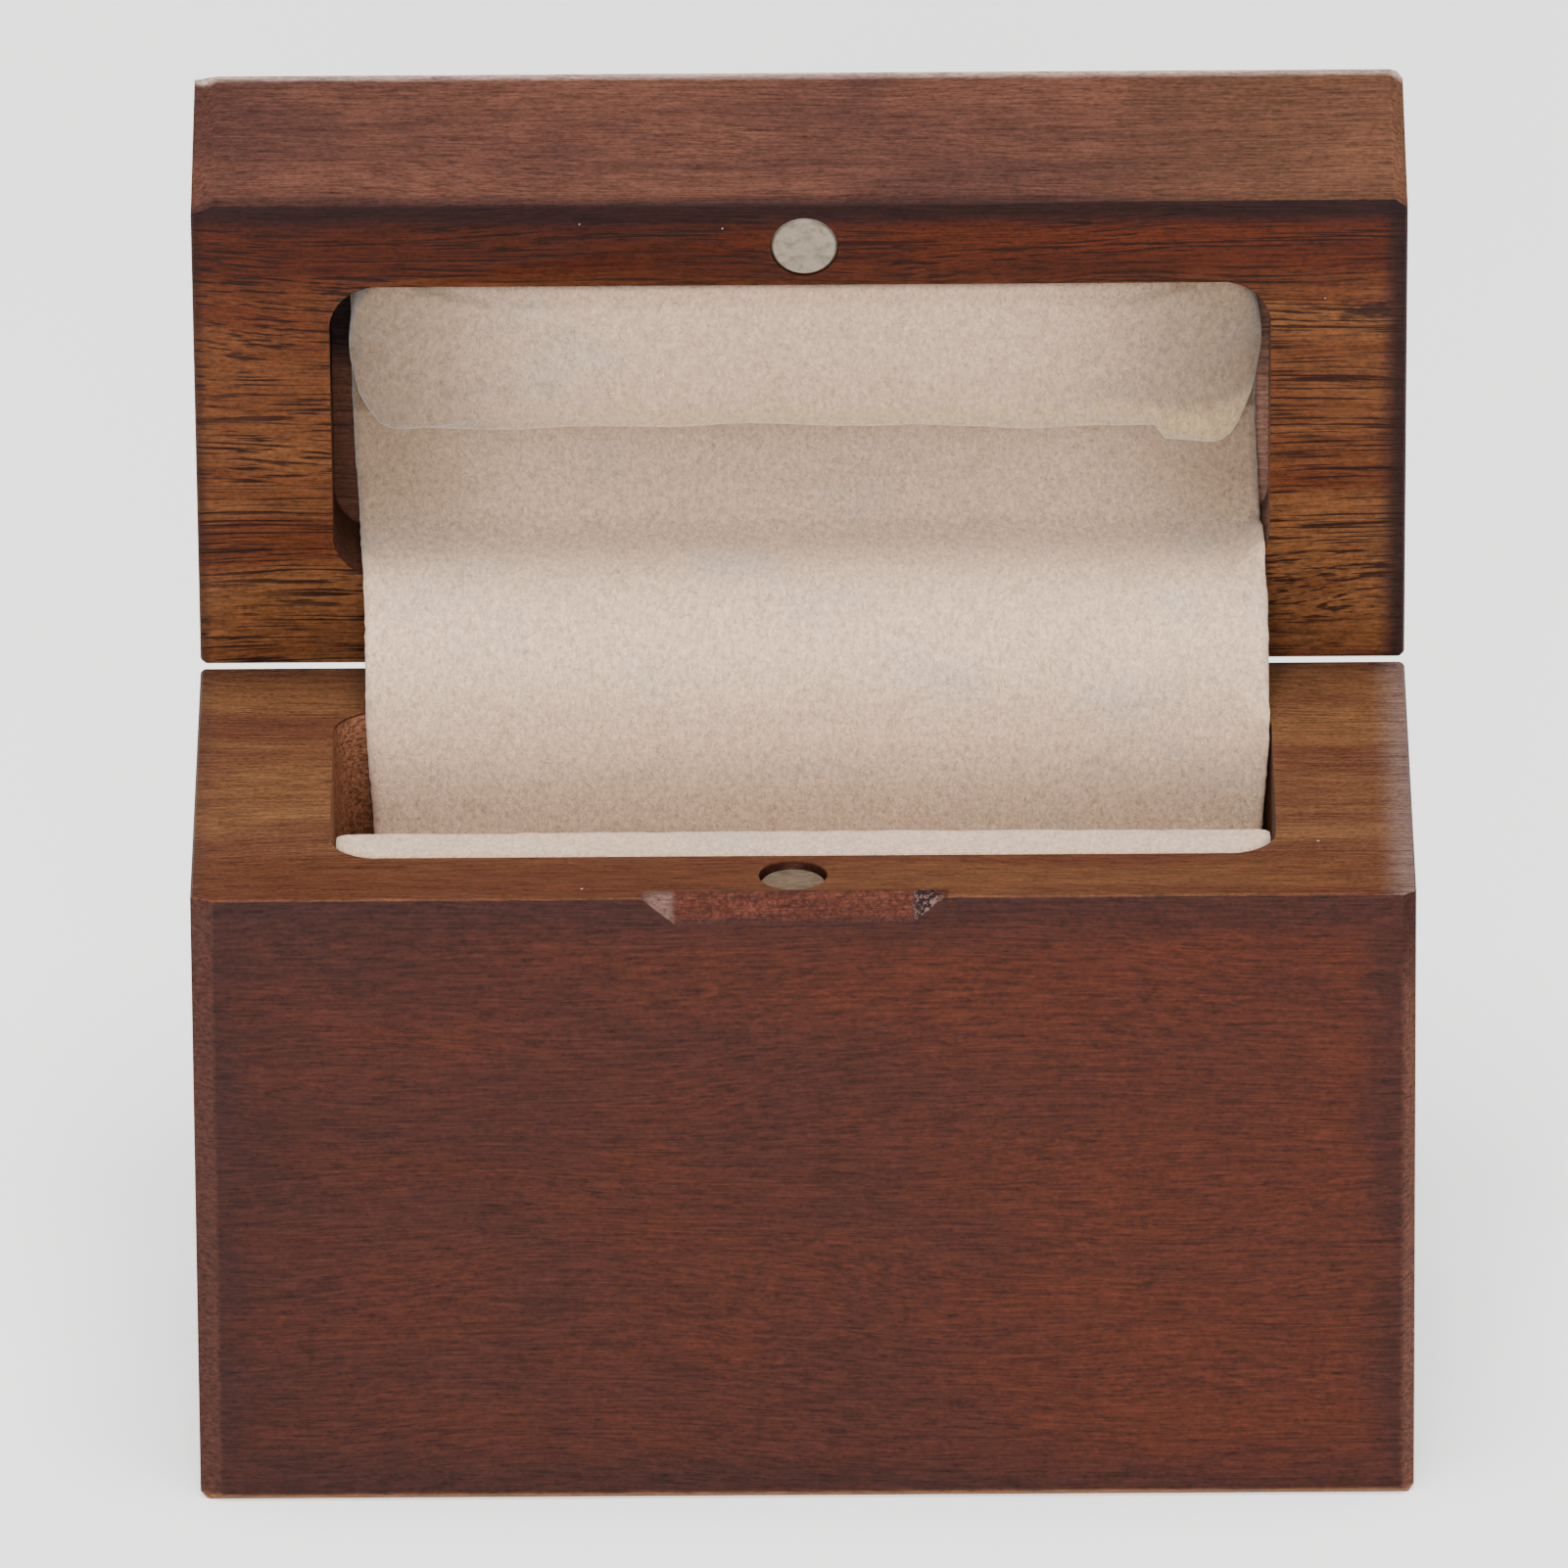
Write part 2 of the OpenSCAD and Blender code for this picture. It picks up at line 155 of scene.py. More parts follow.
class Graph:
    """Short calls for wiring up a material."""

    def __init__(self, name):
        self.material = bpy.data.materials.new(name)
        self.material.use_nodes = True
        self.tree = self.material.node_tree
        self.tree.nodes.clear()

    def put(self, socket, value):
        if isinstance(value, bpy.types.NodeSocket):
            self.tree.links.new(value, socket)
        else:
            socket.default_value = value

    def add(self, kind, inputs=None, **settings):
        node = self.tree.nodes.new("ShaderNode" + kind)
        for key, value in settings.items():
            setattr(node, key, value)
        for key, value in (inputs or {}).items():
            self.put(node.inputs[key], value)
        return node

    def math(self, operation, a, b=0.0):
        return self.add("Math", {0: a, 1: b}, operation=operation).outputs[0]

    def plus(self, a, b):
        return self.math("ADD", a, b)

    def minus(self, a, b):
        return self.math("SUBTRACT", a, b)

    def times(self, a, b):
        return self.math("MULTIPLY", a, b)

    def least(self, a, b):
        return self.math("MINIMUM", a, b)

    def most(self, a, b):
        return self.math("MAXIMUM", a, b)

    def size(self, a):
        return self.math("ABSOLUTE", a)

    def vector(self, operation, a, b):
        return self.add("VectorMath", {0: a, 1: b}, operation=operation).outputs[0]

    def split(self, vector):
        return self.add("SeparateXYZ", {0: vector}).outputs

    def rise(self, value, low, high):
        """0 below low, 1 above high and smooth between them; it falls where low > high."""
        node = self.add("MapRange", {"Value": value}, interpolation_type="SMOOTHSTEP")
        flip = low > high
        node.inputs["From Min"].default_value = min(low, high)
        node.inputs["From Max"].default_value = max(low, high)
        node.inputs["To Min"].default_value = 1.0 if flip else 0.0
        node.inputs["To Max"].default_value = 0.0 if flip else 1.0
        return node.outputs[0]

    def noise(self, vector, scale=(1, 1, 1), detail=2.0, roughness=0.5, distortion=0.0):
        stretched = self.vector("MULTIPLY", vector, scale)
        inputs = {"Vector": stretched, "Scale": 1.0, "Detail": detail,
                  "Roughness": roughness, "Distortion": distortion}
        return self.add("TexNoise", inputs).outputs[0]

    def cells(self, vector, scale=(1, 1, 1)):
        """Distance to the nearest of many scattered points, and a random colour for each."""
        stretched = self.vector("MULTIPLY", vector, scale)
        node = self.add("TexVoronoi", {"Vector": stretched, "Scale": 1.0})
        return node.outputs["Distance"], node.outputs["Color"]

    def mix(self, factor, a, b, blend="MIX"):
        node = self.add("Mix", data_type="RGBA", blend_type=blend)
        for index, value in ((0, factor), (6, a), (7, b)):
            self.put(node.inputs[index], value)
        return node.outputs[2]

    def shaded(self, color, grain):
        """The colour made lighter where grain is above 0 and darker where it is below."""
        shade = self.plus(1.0, grain)
        shade = self.add("CombineXYZ", {"X": shade, "Y": shade, "Z": shade}).outputs[0]
        return self.mix(1.0, color, shade, "MULTIPLY")

    def bump(self, height, distance, strength):
        inputs = {"Height": height, "Distance": distance, "Strength": strength}
        return self.add("Bump", inputs).outputs[0]

    def finish(self, color, roughness, normal=None, **constants):
        shader = self.add("BsdfPrincipled", {"Base Color": color, "Roughness": roughness})
        if normal is not None:
            self.put(shader.inputs["Normal"], normal)
        for name, value in constants.items():
            shader.inputs[name.replace("_", " ")].default_value = value
        output = self.add("OutputMaterial")
        self.tree.links.new(shader.outputs[0], output.inputs[0])
        return self.material


# ---------------------------------------------------------------- walnut

def position(graph):
    """Position in millimetres."""
    return graph.vector("MULTIPLY", graph.add("TexCoord").outputs["Object"], (1 / MM,) * 3)


def shut_position(graph):
    """Position on the lid in millimetres, as it is when the lid is shut."""
    mapping = graph.add("Mapping", {"Vector": graph.add("TexCoord").outputs["Object"]})
    mapping.inputs["Scale"].default_value = (1 / MM,) * 3
    mapping.inputs["Location"].default_value = shutting.to_translation() / MM
    mapping.inputs["Rotation"].default_value = shutting.to_euler()
    return mapping.outputs[0]


WOOD_GLOSS = 0.09

# Tones of the wood
GOLDEN = linear(101, 67, 42)
GOLDEN_DEEP = linear(83, 49, 33)
ORANGE = linear(87, 53, 29)
RED_BROWN = linear(63, 25, 10)
DEEP_BROWN = linear(48, 18, 8)
FRONT_BROWN = linear(55, 24, 15)
FRONT_ORANGE = linear(65, 27, 13)
PURPLE = linear(36, 18, 17)
ROSE = linear(87, 53, 41)
ROSE_DARK = linear(68, 40, 33)
# Pale tone: painted highlight on the right of the base's mating face, also mixed into the pale wall
# tone
PALE_HIGHLIGHT = linear(108, 88, 82)
WALL = linear(128, 84, 64)
WALL_DARK = linear(66, 40, 30)
WALL_PALE = tuple((a + b) / 2 for a, b in zip(WALL, PALE_HIGHLIGHT))
FACET = linear(52, 18, 8)
FACET_LIGHT = linear(76, 38, 26)
FACET_PALE = linear(88, 65, 59)
# Pale edge of the lid's top: rubbed-off stain and painted highlight
EDGE_WEAR_AND_HIGHLIGHT = linear(167, 142, 130)
# Near-black: the knot, the notch's pits and the lid rim's dark edges, and painted shadow on the lid
# pocket's left wall
NEAR_BLACK = linear(24, 11, 12)
STREAK = linear(27, 11, 8)
DUST = linear(205, 190, 180)


def lid_outer_tone(g, fields):
    """Rosy outside of the lid, with a pale line round the edges of its top that is partly rubbed-off
    stain and partly painted highlight.
    """
    x, _, z = fields["xyz"]
    height = g.minus(z, lid_rim_z / MM)
    tone = g.mix(g.rise(fields["cloud"], 0.35, 0.7), ROSE, ROSE_DARK)
    tone = g.mix(g.times(g.rise(fields["figure"], 0.5, 0.68), 0.6), tone, ROSE_DARK)
    tone = g.mix(g.times(g.rise(height, 1.4, 0.2), 0.6), tone, PURPLE)
    tone = g.mix(g.times(g.rise(x, 12, 34), 0.4), tone, GOLDEN)
    from_top = g.minus(lid_high.z / MM, z)
    from_sides = g.least(fields["from_side"], fields["from_ends"])
    # pale edges round the top: rubbed-off stain and painted highlight
    return g.mix(g.rise(g.most(from_top, from_sides), 1.3, 0.4), tone, EDGE_WEAR_AND_HIGHLIGHT)


def base_outer_tone(g, fields):
    """Outside of the base, darker towards its edges and more orange on the right, with painted
    highlights on its front corner chamfers and along its bottom edge.
    """
    x, y, z = fields["xyz"]
    cloud, cloud_2, from_side = fields["cloud"], fields["cloud_2"], fields["from_side"]
    tone = g.mix(g.times(g.rise(cloud, 0.38, 0.66), 0.35), FRONT_BROWN, PURPLE)
    tone = g.mix(g.times(g.rise(x, -12, -34), 0.35), tone, PURPLE)
    warm = g.plus(g.times(g.rise(cloud_2, 0.45, 0.75), 0.35),
                  g.times(g.rise(x, -10, 32), 0.45))
    tone = g.mix(warm, tone, FRONT_ORANGE)
    from_top = g.plus(g.minus(rim_z / MM, z), 0.4)
    from_corner = g.most(from_side, fields["from_ends"])
    margin = g.least(from_corner, g.least(z, from_top))
    margin = g.plus(margin, g.times(g.minus(cloud, 0.5), 5.0))
    tone = g.mix(g.times(g.rise(margin, 4.0, 0.8), 0.6), tone, PURPLE)
    # painted highlight on the front corner chamfers, strong on the right, faint on the left
    right_corner = g.times(g.rise(x, base_high.x / MM - 1.0, base_high.x / MM - 0.5),
                          g.rise(z, rim_z / MM - 2, rim_z / MM - 8))
    at_corner = g.rise(y, front_y / MM + 1.5, front_y / MM + 0.7)
    right_corner = g.times(right_corner, at_corner)
    tone = g.mix(g.times(right_corner, 0.6), tone, ROSE)
    on_left = g.rise(x, 1.5 - base_high.x / MM, 1.1 - base_high.x / MM)
    tone = g.mix(g.times(g.times(on_left, at_corner), 0.25), tone, ROSE)
    # painted highlight along the rounded bottom edge
    return g.mix(g.rise(z, 0.6, 0.25), tone, GOLDEN)


def lid_rim_tone(g, fields):
    """The lid's mating face: orange sides, a redder strip at its front, near-black edges."""
    x, y, _ = fields["xyz"]
    figure = fields["figure"]
    side = g.mix(g.times(g.rise(figure, 0.36, 0.68), 0.75), ORANGE, RED_BROWN)
    left = g.times(g.rise(x, -22, -29), g.rise(y, 4, -5))
    side = g.mix(g.times(left, 0.4), side, RED_BROWN)
    strip = g.mix(g.rise(figure, 0.35, 0.65), RED_BROWN, DEEP_BROWN)
    tone = g.mix(g.rise(y, pocket_front / MM + 1.5, pocket_front / MM - 1.5), side, strip)
    from_front = g.plus(g.minus(y, front_y / MM), fields["cloud"])
    tone = g.mix(g.times(g.rise(from_front, 2.6, 1.2), 0.85), tone, NEAR_BLACK)
    right = g.minus(base_high.x / MM, x)
    tone = g.mix(g.times(g.rise(right, 1.9, 0.5), 0.85), tone, NEAR_BLACK)
    return g.mix(g.times(g.rise(fields["from_side"], 0.9, 0.2), 0.5), tone, NEAR_BLACK)


def base_rim_tone(g, fields):
    """The base's mating face: golden, with painted shade at its rear under the open lid and a
    painted highlight at its right end.
    """
    x, y, _ = fields["xyz"]
    figure, cloud, from_side = fields["figure"], fields["cloud"], fields["from_side"]
    tone = g.mix(g.rise(figure, 0.35, 0.65), GOLDEN, GOLDEN_DEEP)
    tone = g.mix(g.times(g.rise(cloud, 0.5, 0.7), 0.4), tone, GOLDEN_DEEP)
    # painted shade at the rear, under the open lid
    tone = g.mix(g.times(g.rise(y, rear_y / MM - 3, rear_y / MM), 0.5), tone, WALL_DARK)
    at_front = g.rise(y, pocket_front / MM + 1.5, pocket_front / MM - 1.0)
    tone = g.mix(g.times(at_front, 0.45), tone, FRONT_ORANGE)
    # painted highlight at the right end
    right_end_highlight = g.rise(x, base_high.x / MM - 2.4, base_high.x / MM - 0.6)
    tone = g.mix(g.times(right_end_highlight, 0.5), tone, PALE_HIGHLIGHT)
    # along the side edges: darker on the left, painted highlight on the right
    edge = g.mix(g.rise(x, -1, 1), WALL_DARK, PALE_HIGHLIGHT)
    return g.mix(g.times(g.rise(from_side, 1.4, 0.3), 0.4), tone, edge)


def notch_tone(g, p, fields):
    """Mask and colour of the rough thumb notch, whose end facets are paler."""
    x, y, z = fields["xyz"]
    along = g.size(g.minus(x, NOTCH_X))
    mask = g.times(g.rise(along, NOTCH_HALF + 0.1, NOTCH_HALF),
                  g.rise(y, front_y / MM + 0.01, front_y / MM + 0.06))
    mask = g.times(mask, g.rise(y, front_y / MM + 1.0, front_y / MM + 0.92))
    mask = g.times(mask, g.rise(z, rim_z / MM - 2.2, rim_z / MM - 1.9))
    rough = g.noise(p, (3.4, 3.2, 3.2), 3, 0.75)
    tone = g.mix(g.rise(rough, 0.38, 0.66), FACET, FACET_LIGHT)
    tone = g.mix(g.times(g.rise(z, rim_z / MM - 1.3, rim_z / MM - 1.7), 0.7), tone, PURPLE)
    ends = g.rise(along, NOTCH_HALF - NOTCH_END - 0.2, NOTCH_HALF - NOTCH_END + 0.4)
    pits = g.times(g.rise(rough, 0.43, 0.50), g.rise(x, 0, 1))
    pale = g.mix(pits, FACET_PALE, NEAR_BLACK)
    ends = g.times(ends, g.rise(along, NOTCH_HALF + 0.3, NOTCH_HALF - 1.0))
    return mask, g.mix(ends, tone, pale)


def pocket_mask(g, fields, is_lid):
    """1 on the walls of the block's pocket."""
    x, y, z = fields["xyz"]
    if is_lid:
        height = g.times(g.rise(z, lid_rim_z / MM + 0.1, lid_rim_z / MM + 0.3),
                         g.rise(z, lid_floor_z / MM + 2, lid_floor_z / MM + 1))
    else:
        height = g.times(g.rise(z, rim_z / MM - 0.1, rim_z / MM - 0.3),
                         g.rise(z, pad_low.z / MM - 2, pad_low.z / MM - 1))
    width = g.rise(g.size(x), pocket_half_w / MM + 0.8, pocket_half_w / MM + 0.3)
    depth = g.times(g.rise(y, pocket_front / MM - 0.8, pocket_front / MM - 0.3),
                    g.rise(y, rear_y / MM - 5.4, rear_y / MM - 5.9))
    return g.times(g.times(width, depth), height)


def pocket_tone(g, fields, is_lid):
    """Walls of the pocket: in the lid dark on the left with a painted shadow, near-black beside the
    pad, and pale on the right; golden in the base.
    """
    x, y, _ = fields["xyz"]
    if is_lid:
        beside_pad = g.rise(y, pocket_front / MM + 7, pocket_front / MM + 10)
        # painted shadow on the left wall, near-black beside the pad
        return g.mix(g.rise(x, -10, 10), g.mix(beside_pad, NEAR_BLACK, WALL_DARK), WALL_PALE)
    walls = g.mix(g.rise(fields["line"], 0.35, 0.75), WALL, GOLDEN)
    return g.mix(g.rise(x, -10, 10), walls, WALL_DARK)


def wood_fields(g, p):
    """Places and noise patterns that the tones of the wood are made from."""
    wander = g.noise(p, (0.02, 0.07, 0.07), 2)
    lift = g.times(g.minus(wander, 0.5), 7.0)
    q = g.vector("ADD", p, g.add("CombineXYZ", {"X": 0.0, "Y": lift, "Z": lift}).outputs[0])
    x, y, z = g.split(p)
    near, pick = g.cells(q, (0.30, 4.0, 4.0))
    return {
        "xyz": (x, y, z),
        "from_side": g.minus(base_high.x / MM, g.size(x)),
        "from_ends": g.minus(rear_y / MM, g.size(y)),
        "figure": g.noise(q, (0.02, 0.30, 0.30), 3, 0.55),
        "cloud": g.noise(p, (0.08, 0.15, 0.15), 2, 0.5),
        "cloud_2": g.noise(g.vector("ADD", p, (40, 10, 5)), (0.06, 0.20, 0.20), 3, 0.55),
        "fibre": g.noise(q, (0.30, 6.0, 6.0), 3, 0.65),
        "dash": g.noise(q, (0.9, 3.4, 3.4), 3, 0.6),
        "speckle": g.noise(p, (3.0, 5.0, 5.0), 3, 0.7),
        "line": g.noise(q, (0.10, 4.6, 4.6), 2, 0.5),
        "cluster": g.noise(g.vector("ADD", q, (7, 3, 9)), (0.05, 0.22, 0.22), 2, 0.5),
        "pore": g.times(g.rise(near, 0.24, 0.10), g.rise(g.split(pick)[0], 0.45, 0.6)),
    }


def stain_and_painted_light(g, fields, is_lid):
    """Mask of the block's mating face, and the colour of its stain everywhere, with painted shade
    and highlights on some faces and edges.
    """
    z = fields["xyz"][2]
    if is_lid:
        rim = g.rise(z, lid_rim_z / MM + 0.16, lid_rim_z / MM + 0.05)
        outer, mating = lid_outer_tone(g, fields), lid_rim_tone(g, fields)
    else:
        rim = g.rise(z, rim_z / MM - 0.16, rim_z / MM - 0.05)
        outer, mating = base_outer_tone(g, fields), base_rim_tone(g, fields)
    color = g.mix(pocket_mask(g, fields, is_lid), outer, pocket_tone(g, fields, is_lid))
    return rim, g.mix(rim, color, mating)


def knotted(g, p, fields, rim, color):
    """The colour with one dark knot on the lid's mating face."""
    knot = g.vector("MULTIPLY", g.vector("SUBTRACT", p, KNOT_AT), (0.5, 1.0, 0))
    reach = g.add("VectorMath", {0: knot}, operation="LENGTH").outputs["Value"]
    reach = g.plus(reach, g.times(g.minus(fields["dash"], 0.5), 1.8))
    return g.mix(g.times(g.times(g.rise(reach, 1.0, 0.4), rim), 0.8), color, NEAR_BLACK)


def dusted(g, p, color):
    """The colour with a few pale specks of dust."""
    near, pick = g.cells(p, (0.35, 0.35, 0.35))
    speck = g.times(g.rise(near, 0.035, 0.02), g.rise(g.split(pick)[1], 0.6, 0.65))
    return g.mix(g.times(speck, 0.6), color, DUST)


def walnut(name, is_lid):
    """Oiled walnut with its grain along X, toned face by face as the stain has taken, with painted
    shade and highlights on some faces and edges.
    """
    g = Graph(name)
    p = shut_position(g) if is_lid else position(g)
    fields = wood_fields(g, p)
    fibre, dash, speckle = fields["fibre"], fields["dash"], fields["speckle"]
    rim, color = stain_and_painted_light(g, fields, is_lid)
    lines = g.times(g.rise(fields["line"], 0.535, 0.61), g.rise(fields["cluster"], 0.30, 0.48))
    line_share = g.plus(0.22, g.times(rim, 0.66 if is_lid else 0.0))
    color = g.mix(g.times(lines, line_share), color, STREAK)
    pore_share = g.plus(0.25, g.times(rim, 0.5 if is_lid else 0.1))
    color = g.mix(g.times(fields["pore"], pore_share), color, STREAK)
    if is_lid:
        color = knotted(g, p, fields, rim, color)
    else:
        mask, tone = notch_tone(g, p, fields)
        color = g.mix(mask, color, tone)

    grain = g.times(g.minus(fibre, 0.5), 1.9)
    grain = g.plus(grain, g.times(g.minus(dash, 0.5), 0.8))
    grain = g.plus(grain, g.times(g.minus(speckle, 0.5), 1.8))
    color = dusted(g, p, g.shaded(color, grain))

    height = g.plus(g.times(fibre, 0.5), g.times(speckle, 0.4))
    height = g.minus(height, g.times(lines, 0.8))
    rough = g.plus(0.40, g.times(speckle, 0.3))
    return g.finish(color, rough, g.bump(height, 0.05 * MM, 0.6), Specular_IOR_Level=WOOD_GLOSS)


# ---------------------------------------------------------------- suede, foam and metal

PAD_HANG = 0.9  # how far the lid's pad hangs past its straight cut, in mm
PAD_SHADOW = 0.67  # how far the painted shadow of the crease reaches past the pad, as a share of its thickness

# Tones of the suede
SUEDE = linear(202, 171, 145)
SUEDE_SHADE = linear(174, 147, 122)
# Painted shade on the strip in the lid and on the lid's pad
SUEDE_PAINTED_SHADE = linear(118, 98, 80)
SUEDE_BLUE = linear(185, 166, 151)
# Painted shadow in the crease under the lid's pad, also darkening the pad's ends
SUEDE_CREASE_SHADOW = linear(84, 66, 50)
GLUE = linear(176, 150, 108)
SUEDE_SPECK = linear(120, 100, 88)


def suede(name, extra=None):
    """Beige microfibre with a short nap; extra is a function that paints one piece's painted shade
    and any glue stain.
    """
    g = Graph(name)
    p = g.add("Attribute", attribute_name="cloth").outputs["Vector"]
    patch = g.noise(p, (0.12, 0.16, 0.16), 3, 0.5)
    mottle = g.noise(p, (0.9, 0.7, 0.9), 3, 0.6)
    nap = g.noise(p, (3.6, 2.2, 3.6), 4, 0.75, 0.5)
    fine = g.noise(p, (11, 8, 11), 2, 0.6)
    color = g.mix(g.times(g.rise(patch, 0.52, 0.72), 0.7), SUEDE, SUEDE_BLUE)
    color = g.mix(g.times(g.rise(mottle, 0.5, 0.75), 0.35), color, SUEDE_SHADE)
    if extra is not None:
        color = extra(g, p, color, mottle)
    grain = g.plus(g.times(g.minus(nap, 0.5), 1.7), g.times(g.minus(fine, 0.5), 0.8))
    color = g.shaded(color, grain)
    near, pick = g.cells(p, (1.1,) * 3)
    speck = g.times(g.rise(near, 0.10, 0.05), g.rise(g.split(pick)[0], 0.7, 0.76))
    color = g.mix(g.times(speck, 0.45), color, SUEDE_SPECK)
    height = g.plus(g.times(nap, 0.8), g.times(fine, 0.3))
    normal = g.bump(height, 0.15 * MM, 0.8)
    return g.finish(color, 0.95, normal, Specular_IOR_Level=0.1, Sheen_Weight=0.3,
                    Sheen_Roughness=0.5)


def crease_start():
    """Distance in mm along the strip to where the painted shadow of the lid's pad begins, before the
    crease where the strip goes under it.
    """
    path = strip_path()
    length = sum(math.dist(a, b) for a, b in zip(path, path[1:]))
    lining_low, _ = shut_box("lid_lining")
    cover_low, cover_high = shut_box("lid_pad_cover")
    shadow = (lining_low.z - cover_low.z) * PAD_SHADOW
    return length - (cover_high.y - lining_low.y + shadow) / MM - PAD_HANG


def strip_painted_shade(g, p, color, mottle):
    """Painted shade: darker where the strip lies in the lid's pocket, more just under the lid's pad
    and most near the pocket's sides, with a painted shadow at the crease under the pad.
    """
    x, s, _ = g.split(p)
    # painted shade inside the lid's pocket and under its pad
    in_lid = g.rise(s, 40, 51)
    under_pad = g.rise(s, 51, 55)
    share = g.plus(g.times(in_lid, 0.55), g.times(under_pad, 0.22))
    color = g.mix(share, color, SUEDE_PAINTED_SHADE)
    # painted shade near the side walls of the lid's pocket
    sides = g.rise(g.size(x), 15, 25)
    color = g.mix(g.times(g.times(in_lid, sides), 0.85), color, SUEDE_PAINTED_SHADE)
    # painted shadow in the crease under the lid's pad
    ragged = g.plus(s, g.times(g.minus(mottle, 0.5), 0.6))
    crease = g.rise(ragged, crease_start() - 0.35, crease_start())
    return g.mix(g.times(crease, 0.65), color, SUEDE_CREASE_SHADOW)


def lid_pad_stain_and_shade(g, p, color, mottle):
    """Painted shade over the whole pad, deepest at both ends, a yellowish glue stain, and a painted
    shadow in the crease along the lower edge.
    """
    x, s, _ = g.split(p)
    from_middle = g.size(x)
    ends = g.rise(from_middle, 10, 27)
    # painted shade all over the pad, deepest at its ends
    color = g.mix(g.plus(0.42, g.times(ends, 0.48)), color, SUEDE_PAINTED_SHADE)
    color = g.mix(g.times(g.rise(from_middle, 16, 26), 0.35), color, SUEDE_CREASE_SHADOW)
    depth = g.plus(s, g.times(mottle, 1.6))
    band = g.times(g.rise(depth, 8.6, 9.8), g.rise(x, -20, -8))
    color = g.mix(g.times(band, 0.55), color, GLUE)
    # painted shadow in the crease along the lower edge
    crease = g.rise(g.plus(s, g.times(mottle, 0.5)), 10.5, 10.85)
    return g.mix(g.times(crease, 0.75), color, SUEDE_CREASE_SHADOW)


def foam(name):
    """Cream foam with open cells."""
    g = Graph(name)
    p = position(g)
    near, _ = g.cells(p, (2.2, 2.2, 2.2))
    shade = g.noise(p, (0.3, 0.3, 0.3), 2)
    color = g.mix(shade, linear(232, 226, 208), linear(214, 204, 180))
    # painted shade in the hollows of the open cells
    color = g.mix(g.rise(near, 0.35, 0.1), color, linear(176, 164, 140))
    return g.finish(color, 0.95, g.bump(near, 0.2 * MM, 0.8), Specular_IOR_Level=0.1)


def nickel(name, dull, tones):
    """Worn nickel plate; dull is from 0 to 1 and tones are its light and dark colours."""
    g = Graph(name)
    p = position(g)
    scuff = g.noise(p, (1.2, 3.0, 1.6), 4, 0.65, 0.5)
    fine = g.noise(p, (9, 14, 9), 2, 0.7)
    color = g.mix(g.rise(scuff, 0.4, 0.7), tones[0], tones[1])
    near, pick = g.cells(p, (0.9, 0.9, 0.9))
    spot = g.times(g.rise(near, 0.12, 0.05), g.rise(g.split(pick)[0], 0.5, 0.55))
    color = g.mix(spot, color, linear(92, 80, 70))
    rough = g.plus(0.28 + 0.3 * dull, g.times(scuff, 0.3))
    return g.finish(color, rough, g.bump(fine, 0.02 * MM, 0.5), Metallic=1.0 - 0.6 * dull)


def brass(name):
    """Brass brushed along X, tarnished in patches."""
    g = Graph(name)
    p = position(g)
    tarnish = g.noise(p, (0.8, 0.8, 0.8), 3, 0.6)
    brushed = g.noise(p, (0.8, 14, 14), 2, 0.6)
    color = g.mix(g.rise(tarnish, 0.42, 0.72), linear(214, 178, 108), linear(150, 116, 66))
    rough = g.plus(0.22, g.times(tarnish, 0.3))
    return g.finish(color, rough, g.bump(brushed, 0.02 * MM, 0.4), Metallic=1.0)


def steel(name):
    """Bright steel, lightly worn."""
    g = Graph(name)
    p = position(g)
    wear = g.noise(p, (2, 2, 2), 3, 0.6)
    color = g.mix(wear, linear(205, 202, 198), linear(150, 146, 140))
    rough = g.plus(0.25, g.times(wear, 0.25))
    return g.finish(color, rough, g.bump(wear, 0.02 * MM, 0.4), Metallic=1.0)


def floor_material():
    """Near-white floor that glows a little, so that it stays pale."""
    g = Graph("floor")
    p = g.add("TexCoord").outputs["Object"]
    tone = g.noise(p, (6, 6, 6), 3)
    color = g.mix(tone, (0.93, 0.925, 0.915, 1), (0.90, 0.895, 0.885, 1))
    return g.finish(color, 0.8, Specular_IOR_Level=0.1, Emission_Color=(1, 0.995, 0.99, 1),
                    Emission_Strength=0.7)


# ---------------------------------------------------------------- mesh building

def new_object(name, mesh, material):
    piece = bpy.data.objects.new(name, mesh)
    bpy.context.scene.collection.objects.link(piece)
    mesh.materials.clear()
    mesh.materials.append(material)
    return piece


def mesh_from(name, points, faces, is_smooth=True):
    mesh = bpy.data.meshes.new(name)
    mesh.from_pydata([tuple(p) for p in points], [], faces)
    mesh.update()
    mesh.validate()
    if is_smooth:
        mesh.shade_smooth()
    return mesh


def mark_cloth(mesh, places):
    """Stores each vertex's place on the flat cloth, in millimetres, for the material."""
    attribute = mesh.attributes.new("cloth", "FLOAT_VECTOR", "POINT")
    for entry, place in zip(attribute.data, places):
        entry.vector = place


def smooth(t):
    """0 below 0, 1 above 1 and smooth between them."""
    t = max(0.0, min(1.0, t))
    return t * t * (3 - 2 * t)


def wobble(x, y, size, seed):
    """Smooth noise from -1 to 1 that varies over about size."""
    return noise.noise(Vector((x / size, y / size, seed)))


# ---------------------------------------------------------------- wooden blocks

# In millimetres
EDGE_ROUND = 0.12  # radius rubbed onto the cut edges
EDGE_STEPS = 2
SKIN = 2.2  # edges deeper than this inside the block stay sharp
HINGE_DEPTH = 6.8  # the hinge recesses lie this far from the rear
HINGE_SPAN = (9, 21)  # and this far from the middle, to either side
BORE_FROM_FRONT = 3.1  # centre of the magnet bore
CHAMFER_DEPTH = 0.65  # of the lid's left front corner
CHAMFER_FADE = 0.42  # how much of that is gone at the top of the lid


